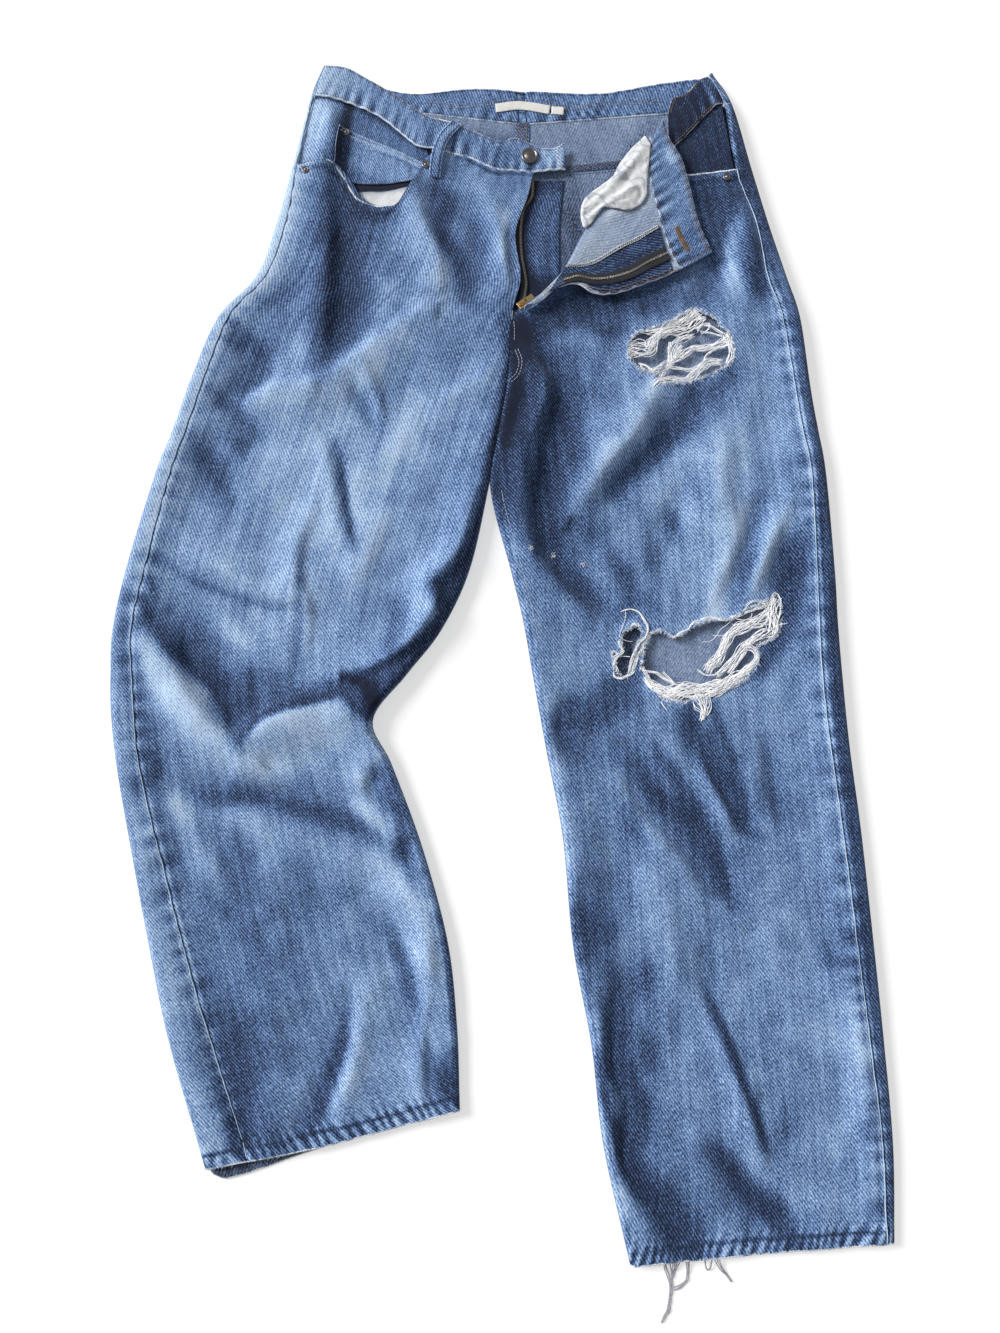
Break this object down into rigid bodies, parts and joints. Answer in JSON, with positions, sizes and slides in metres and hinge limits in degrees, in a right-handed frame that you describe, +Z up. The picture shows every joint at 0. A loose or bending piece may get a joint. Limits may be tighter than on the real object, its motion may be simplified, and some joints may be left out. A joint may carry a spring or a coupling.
{
  "type": "ripped jeans",
  "caption": "Ripped denim jeans laid flat on their back, fly open and one front corner turned back, with frayed holes at the thigh and knee.",
  "frame": {"origin": "centre of the bounding box's underside, on the surface the jeans lie on", "axes": "+Z up from that surface, +Y from the hems to the waist, +X towards the wearer's left leg, which is on the viewer's right"},
  "size_m": [0.6981, 1.1838, 0.0225],
  "materials": {
    "denim_outside": "faded mid-blue denim, right side out",
    "denim_inside": "paler inside of the same denim",
    "denim_shaded": "darker, less faded denim",
    "white_cotton": "undyed woven cotton",
    "zip_tape": "black woven zip tape",
    "brass": "satin zip brass",
    "antique_metal": "dark antiqued button metal"
  },
  "bodies": {
    "garment": {"back_left": "denim_shaded", "back_pocket_left": "denim_outside", "back_pocket_right": "denim_outside", "back_right": "denim_shaded", "belt_loop_back_left": "denim_outside", "belt_loop_back_right": "denim_outside", "belt_loop_centre_back": "denim_outside", "belt_loop_front_right": "denim_outside", "button": "antique_metal", "care_label": "white_cotton", "coin_pocket": "denim_outside", "fly_facing": "denim_shaded", "fly_shield": "denim_shaded", "front_left": "denim_outside", "front_left_turned_back": "denim_inside", "front_right": "denim_outside", "hem_threads_long": "white_cotton", "hem_threads_short": "white_cotton", "knee_threads_left": "white_cotton", "knee_threads_lower": "white_cotton", "knee_threads_right": "white_cotton", "knee_threads_upper": "white_cotton", "pocket_bag_left": "white_cotton", "pocket_bag_right": "white_cotton", "pocket_facing_left": "denim_shaded", "pocket_facing_right": "denim_outside", "rivet_coin_pocket": "antique_metal", "rivet_left_side": "antique_metal", "rivet_right_front": "antique_metal", "rivet_right_side": "antique_metal", "size_tab": "white_cotton", "thigh_threads_lower": "white_cotton", "thigh_threads_upper": "white_cotton", "waistband_back": "denim_inside", "waistband_label": "white_cotton", "waistband_left": "denim_shaded", "waistband_right": "denim_outside", "waistband_turned_back": "denim_inside", "yoke_left": "denim_shaded", "yoke_right": "denim_shaded", "zip_slider": "brass", "zip_tape_left": "zip_tape", "zip_tape_right": "zip_tape"},
    "pull_tab": {"zip_pull_tab": "brass"}
  },
  "joints": [
    {"name": "pull_tab_hinge", "type": "hinge", "parent": "garment", "child": "pull_tab", "pos_m": [0.0345, 0.3245, 0.0108], "axis": [0.6157, -0.788, 0], "range_deg": [0, 165]}
  ]
}
